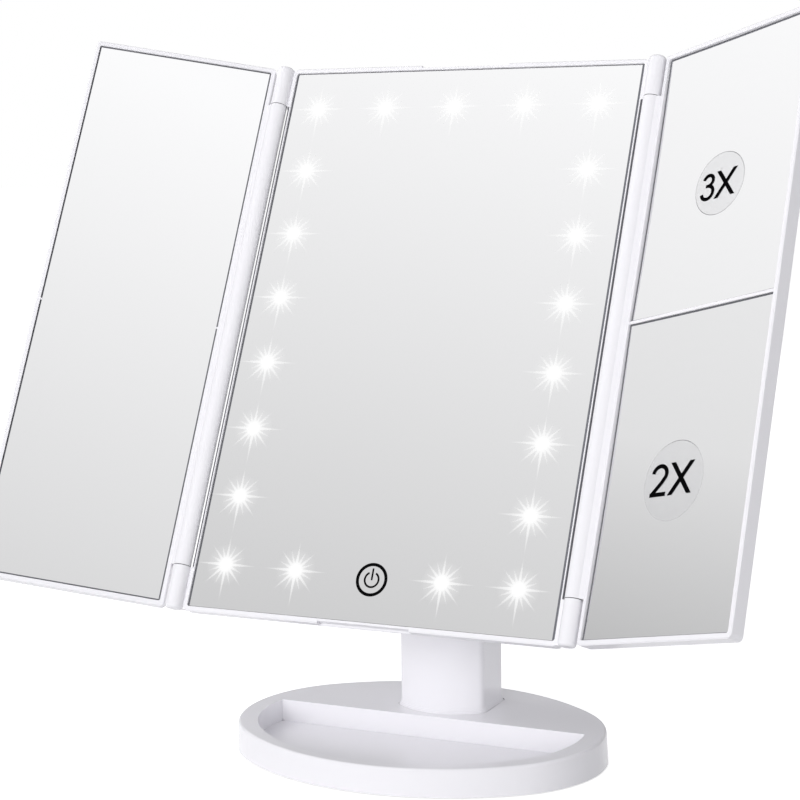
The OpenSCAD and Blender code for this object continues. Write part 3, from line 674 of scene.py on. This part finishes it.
def label(sign, name, disc_at, radius, text_at, width, height):
    """A round clear film with its cut edge and its printed magnification, all on a dished glass"""
    x, z = disc_at
    disc = lay_in_dish(thicken(flat_disc(radius, x, z, 0), PRINT), name)
    settle(disc, name + "_film", RIGHT_WING, label_film, "right_wing")
    rim = flat_ring(radius, radius - 0.00028, x, z, -PRINT)
    rim = lay_in_dish(thicken(rim, PRINT * 0.5), name)
    settle(rim, name + "_edge", RIGHT_WING, label_edge, "right_wing")
    second = plain_character("X")
    for piece in second:
        for v in piece.data.vertices:
            v.co.x += NEXT_SIGN[sign]
    text = join(plain_character(sign) + second)
    xs = [v.co.x for v in text.data.vertices]
    zs = [v.co.z for v in text.data.vertices]
    across, up = width / (max(xs) - min(xs)), height / (max(zs) - min(zs))
    mx, mz = (max(xs) + min(xs)) / 2, (max(zs) + min(zs)) / 2
    x, z = text_at
    for v in text.data.vertices:
        v.co = (x + (v.co.x - mx) * across, -PRINT * 1.6, z + (v.co.z - mz) * up)
    lay_in_dish(thicken(text, PRINT), name)
    settle(text, name + "_print", RIGHT_WING, black_ink, "right_wing")


label("3", "label_upper", (0.0448, 0.0572), 0.0130, (0.0441, 0.0568), 0.0188, 0.01135)
label("2", "label_lower", (0.0428, -0.0606), 0.0155, (0.0419, -0.0599), 0.0221, 0.01255)

WING_IN, WING_OUT = 0.0066, 0.083      # inner and outer edge of the wings' glasses
glass_edge("center_glass_edge", PANEL, "panel", (-0.0797, 0.0797, -0.1197, 0.1197),
           (0.42, 0.95, 0.0, 0.0))
glass_edge("left_glass_edge", LEFT_WING, "left_wing", (-WING_OUT, -WING_IN, -0.1192, 0.1192),
           (0.3, 0.42, 0.42, 0.3))
glass_edge("right_upper_edge", RIGHT_WING, "right_wing", (WING_IN, WING_OUT, 0.0072, 0.1192),
           (0.42, 0.0, 0.2, 0.45), "label_upper")
glass_edge("right_lower_edge", RIGHT_WING, "right_wing", (WING_IN, WING_OUT, -0.1192, 0.0054),
           (0.42, 0.0, 0.15, 0.4), "label_lower")


# ---------- floor, light and background ----------
def studio_floor():
    """Pale seamless paper: seen by the camera as white, while it still takes the shadow"""
    deselect()
    bpy.ops.mesh.primitive_plane_add(size=24, location=(0, 0, 0))
    floor = bpy.context.active_object
    floor.name = "studio_floor"
    material, tree, shader = new_material("paper_seamless_white")
    place = add(tree, "ShaderNodeTexCoord").outputs["Object"]
    fibre = add(tree, "ShaderNodeTexNoise", Vector=place, Scale=1000 / 1.5, Detail=3.0)
    tone = add(tree, "ShaderNodeMix", {"data_type": "RGBA"}, i0=fibre.outputs["Fac"],
               i6=linear("#cfcfd1"), i7=linear("#d6d6d7"))
    tree.links.new(tone.outputs[2], shader.inputs["Base Color"])
    shader.inputs["Roughness"].default_value = 0.9
    # the camera and the mirrors see the paper overexposed, its shadow stays
    path = add(tree, "ShaderNodeLightPath")
    seen = add(tree, "ShaderNodeMath", {"operation": "MAXIMUM"}, i0=path.outputs["Is Camera Ray"],
               i1=path.outputs["Is Glossy Ray"])
    over = add(tree, "ShaderNodeMath", {"operation": "MULTIPLY"}, i0=seen.outputs[0], i1=0.72)
    shader.inputs["Emission Color"].default_value = linear("#ffffff")
    tree.links.new(over.outputs[0], shader.inputs["Emission Strength"])
    floor.data.materials.append(material)


studio_floor()

# brightness of the tent towards a direction: its dot product with TENT_SLOPE, above TENT_LOW
TENT_SLOPE, TENT_LOW = (0.149, 0.61, 1.018), -0.604


def studio_world():
    """White behind everything, soft light all round, and for the mirrors a white tent that falls
    off a little downwards and to the left"""
    world = bpy.data.worlds.new("studio")
    bpy.context.scene.world = world
    world.use_nodes = True
    tree = world.node_tree
    tree.nodes.clear()
    path = add(tree, "ShaderNodeLightPath")
    seen = add(tree, "ShaderNodeMath", {"operation": "MAXIMUM"}, i0=path.outputs["Is Camera Ray"],
               i1=path.outputs["Is Transmission Ray"])
    soft = add(tree, "ShaderNodeBackground", Color=linear("#fbfbfd"), Strength=0.46)
    white = add(tree, "ShaderNodeBackground", Color=linear("#ffffff"), Strength=1.0)
    way = add(tree, "ShaderNodeTexCoord").outputs["Generated"]
    slope = add(tree, "ShaderNodeVectorMath", {"operation": "DOT_PRODUCT"}, i0=way, i1=TENT_SLOPE)
    fall = add(tree, "ShaderNodeMapRange", Value=slope.outputs["Value"], From_Min=TENT_LOW,
               From_Max=TENT_LOW + 1.0, To_Min=0.0, To_Max=1.0)
    # behind the object, where only grazing reflections look, the room is darker
    back = add(tree, "ShaderNodeSeparateXYZ", Vector=way).outputs["Y"]
    dim = add(tree, "ShaderNodeMapRange", Value=back, From_Min=0.1, From_Max=0.7, To_Min=1.0,
              To_Max=0.35)
    both = add(tree, "ShaderNodeMath", {"operation": "MULTIPLY"}, i0=fall.outputs["Result"],
               i1=dim.outputs["Result"])
    tent = add(tree, "ShaderNodeBackground", Color=linear("#ffffff"), Strength=both.outputs[0])
    light = add(tree, "ShaderNodeMixShader", i0=path.outputs["Is Glossy Ray"], i1=soft.outputs[0],
                i2=tent.outputs[0])
    whole = add(tree, "ShaderNodeMixShader", i0=seen.outputs[0], i1=light.outputs[0],
                i2=white.outputs[0])
    add(tree, "ShaderNodeOutputWorld", Surface=whole.outputs[0])


studio_world()


def lamp(name, place, aim, size, watts):
    """A soft box that lights the object and that the mirrors don't show"""
    data = bpy.data.lights.new(name, "AREA")
    data.shape = "RECTANGLE"
    data.size, data.size_y = size
    data.energy = watts
    light = bpy.data.objects.new(name, data)
    light.visible_glossy = False
    bpy.context.scene.collection.objects.link(light)
    light.location = place
    light.rotation_euler = (Vector(aim) - Vector(place)).to_track_quat("-Z", "Y").to_euler()


lamp("key_front", (-0.3, -2.0, 0.6), (0, 0, 0.1), (1.4, 1.0), 19.5)
lamp("fill_front_right", (0.9, -1.9, 0.4), (0, 0, 0.1), (0.8, 0.8), 6)
lamp("fill_top_left", (-0.25, -0.9, 1.1), (0, -0.05, 0), (0.5, 0.5), 1.0)
lamp("fill_back", (0.3, 1.7, 0.2), (0, 0, 0.15), (0.9, 0.9), 6)
lamp("fill_left", (-0.5, 0.05, 0.5), (0, 0, 0.0), (0.3, 0.3), 0.8)

bpy.context.scene.view_settings.view_transform = "Standard"
